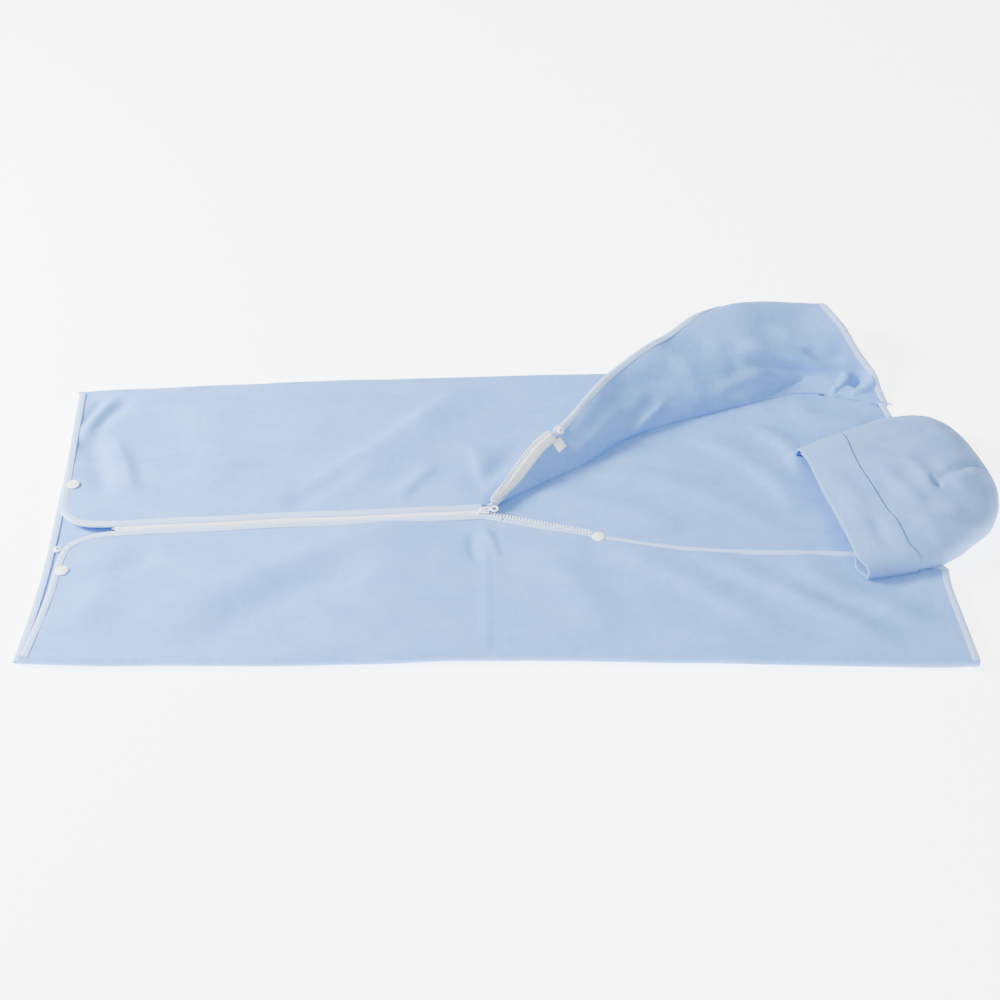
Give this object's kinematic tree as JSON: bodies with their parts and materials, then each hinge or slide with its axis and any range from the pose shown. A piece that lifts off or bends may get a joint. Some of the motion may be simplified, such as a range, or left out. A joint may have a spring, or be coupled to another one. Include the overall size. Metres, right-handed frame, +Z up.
{
  "type": "sauna blanket liner bag with cap",
  "caption": "Zip-up velour liner bag of a sauna blanket, its far front turned back over a crease, with bound edges, press studs, a half-open plastic zip and a matching soft cap.",
  "frame": {"origin": "middle of the back panel's underside, on the surface the bag lies on", "axes": "+X from the foot end to the head end, +Y to the far long side, +Z up"},
  "size_m": [1.1302, 0.5759, 0.0716],
  "materials": {
    "velour": "brushed light-blue velour",
    "velour_inside": "flat inner side of the velour",
    "bias_binding": "paler folded bias tape",
    "zip_tape": "white woven zip tape",
    "zip_plastic": "white moulded acetal",
    "stud_plastic": "white moulded press stud",
    "label_satin": "white woven satin",
    "cap_velour": "brushed light-blue velour"
  },
  "bodies": {
    "bag": {"back_panel": "velour_inside", "far_front_panel": "velour", "near_front_panel": "velour", "far_side_fold": "velour", "near_side_fold": "velour", "back_foot_binding": "bias_binding", "back_head_binding": "bias_binding", "far_front_binding": "bias_binding", "near_front_binding": "bias_binding", "far_tape_closed": "zip_tape", "near_tape_closed": "zip_tape", "far_teeth_closed": "zip_plastic", "near_teeth_closed": "zip_plastic", "bottom_stop": "zip_plastic", "foot_far_snap_cap": "stud_plastic", "foot_far_snap_socket": "stud_plastic", "foot_far_stud": "stud_plastic", "foot_far_stud_cap": "stud_plastic", "foot_near_snap_cap": "stud_plastic", "foot_near_snap_socket": "stud_plastic", "foot_near_stud": "stud_plastic", "foot_near_stud_cap": "stud_plastic"},
    "near_flap": {"near_front_flap": "velour", "near_flap_binding": "bias_binding", "near_tape_open": "zip_tape", "near_teeth_open": "zip_plastic", "near_top_stop": "zip_plastic", "head_snap_cap": "stud_plastic", "head_snap_socket": "stud_plastic"},
    "far_flap": {"far_front_flap": "velour_inside", "far_flap_binding": "bias_binding", "far_tape_open": "zip_tape", "far_teeth_open": "zip_plastic", "far_top_stop": "zip_plastic", "head_stud": "stud_plastic", "head_stud_cap": "stud_plastic", "care_label": "label_satin"},
    "zip_slider": {"slider_top": "zip_plastic", "slider_underside": "zip_plastic"},
    "pull": {"pull_tab": "zip_plastic"},
    "cap": {"cap_cuff_upper": "cap_velour", "cap_cuff_lower": "cap_velour", "cap_crown_upper": "cap_velour", "cap_crown_lower": "cap_velour"}
  },
  "joints": [
    {"name": "zip_slide", "type": "slide", "parent": "bag", "child": "zip_slider", "axis": [-0.999, -0.0436, 0], "range_m": [0, 0.415]},
    {"name": "pull_swing", "type": "hinge", "parent": "zip_slider", "child": "pull", "pos_m": [-0.009, -0.0134, 0.0164], "axis": [0.0436, -0.999, 0], "range_deg": [0, 170]},
    {"name": "far_flap_fold", "type": "hinge", "parent": "bag", "child": "far_flap", "pos_m": [-0.009, -0.0134, 0.01315], "axis": [0.8992, 0.4376, 0], "range_deg": [0, 80]},
    {"name": "near_flap_lift", "type": "hinge", "parent": "bag", "child": "near_flap", "pos_m": [0, -0.2287, 0.01305], "axis": [0.9994, -0.0333, 0], "range_deg": [0, 35]},
    {"name": "cap_lift", "type": "slide", "parent": "near_flap", "child": "cap", "axis": [0, 0, 1], "range_m": [0, 0.3]}
  ]
}
